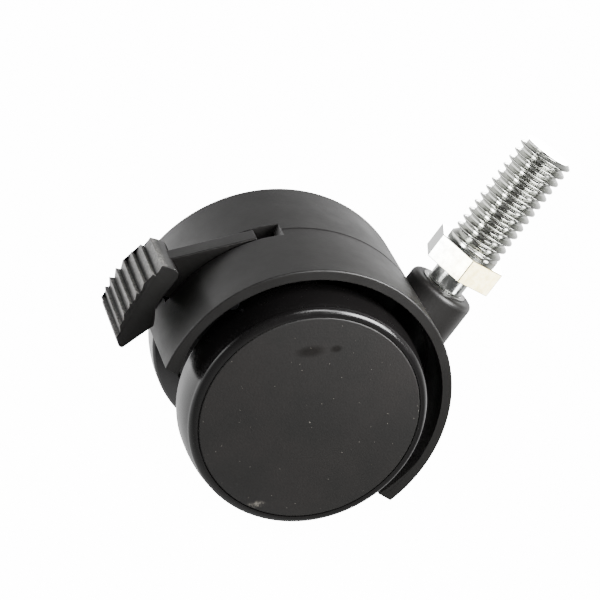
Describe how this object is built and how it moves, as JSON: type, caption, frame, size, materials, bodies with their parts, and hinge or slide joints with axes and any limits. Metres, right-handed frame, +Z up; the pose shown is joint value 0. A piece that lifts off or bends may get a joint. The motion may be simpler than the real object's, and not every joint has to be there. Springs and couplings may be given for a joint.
{
  "type": "chair caster wheel",
  "caption": "Hooded twin-wheel furniture caster with a foot brake lever, swivelling on an upright threaded stem with a hex seat.",
  "frame": {"origin": "on the stem's axis, at the top face of its hex, where the caster seats against the chair leg", "axes": "+Z up the stem, +Y along the axle towards the left wheel, +X from the axle towards the stem"},
  "size_m": [0.0574, 0.0364, 0.0752],
  "materials": {
    "zinc_plated_steel": "bright zinc plate on a rolled and machined stem",
    "plain_steel": "turned and oiled",
    "spring_steel": "dull spring steel",
    "blackened_steel": "black oxide",
    "housing_nylon": "satin moulded black",
    "wheel_nylon": "gloss moulded black",
    "cap_nylon": "fine matt texture, black"
  },
  "bodies": {
    "stem": {"threaded_stem": "zinc_plated_steel", "stem_snap_ring": "spring_steel"},
    "housing": {"housing": "housing_nylon", "socket_sleeve": "plain_steel", "thrust_disc": "plain_steel", "axle": "plain_steel", "spacer_washer_left": "plain_steel", "spacer_washer_right": "plain_steel", "axle_clip_left": "spring_steel", "axle_clip_right": "spring_steel", "brake_pivot_pin": "plain_steel"},
    "wheel_left": {"wheel_left": "wheel_nylon", "wheel_cap_left": "cap_nylon"},
    "wheel_right": {"wheel_right": "wheel_nylon", "wheel_cap_right": "cap_nylon"},
    "brake_lever": {"brake_lever": "housing_nylon", "brake_bar": "blackened_steel"}
  },
  "joints": [
    {"name": "swivel", "type": "hinge", "parent": "stem", "child": "housing", "pos_m": [0, 0, 0], "axis": [0, 0, 1], "continuous": true},
    {"name": "wheel_left_spin", "type": "hinge", "parent": "housing", "child": "wheel_left", "pos_m": [-0.0156, 0, -0.0336], "axis": [0, 1, 0], "continuous": true},
    {"name": "wheel_right_spin", "type": "hinge", "parent": "housing", "child": "wheel_right", "pos_m": [-0.0156, 0, -0.0336], "axis": [0, 1, 0], "continuous": true},
    {"name": "brake_pivot", "type": "hinge", "parent": "housing", "child": "brake_lever", "pos_m": [-0.0262, 0, -0.02698], "axis": [0, 1, 0], "range_deg": [0, 15]}
  ]
}
